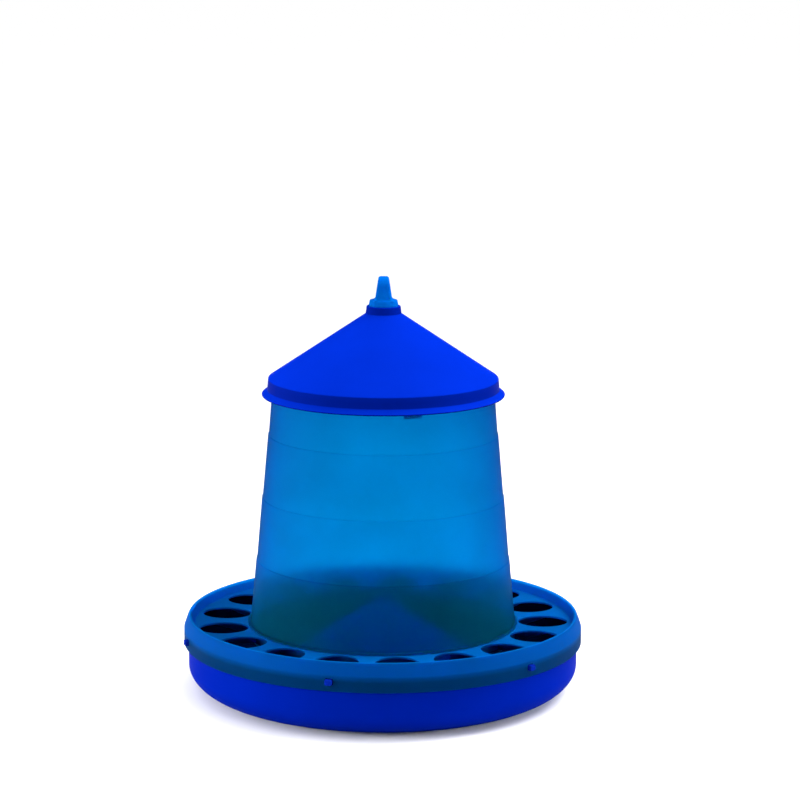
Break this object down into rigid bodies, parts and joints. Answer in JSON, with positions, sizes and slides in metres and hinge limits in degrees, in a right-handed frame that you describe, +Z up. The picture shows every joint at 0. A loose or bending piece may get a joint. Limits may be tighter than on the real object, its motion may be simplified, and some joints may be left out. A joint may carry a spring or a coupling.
{
  "type": "hanging poultry feeder",
  "caption": "Round hanging poultry feeder with a conical lid, stepped translucent hopper, anti-waste feed ring and coned tray.",
  "frame": {"origin": "on the axis, at the level of the flat ring under the tray that the feeder stands on", "axes": "+Z up the feeder's axis through the hanging loop; -Y is the front"},
  "size_m": [0.38, 0.38, 0.3977],
  "materials": {
    "tray_plastic": "satin opaque blue polypropylene",
    "ring_plastic": "satin, slightly translucent polypropylene",
    "hopper_plastic": "satin, translucent polypropylene",
    "handle_plastic": "satin, slightly translucent polypropylene",
    "lid_plastic": "satin opaque blue polypropylene"
  },
  "bodies": {
    "base": {"feed_tray": "tray_plastic", "feed_ring": "ring_plastic"},
    "hopper": {"hopper": "hopper_plastic", "hanging_handle": "handle_plastic"},
    "lid": {"lid": "lid_plastic"}
  },
  "joints": [
    {"name": "hopper_twist", "type": "hinge", "parent": "base", "child": "hopper", "pos_m": [0, 0, 0.065], "axis": [0, 0, 1], "range_deg": [0, 15]},
    {"name": "lid_lift", "type": "slide", "parent": "hopper", "child": "lid", "axis": [0, 0, 1], "range_m": [0, 0.3]}
  ]
}
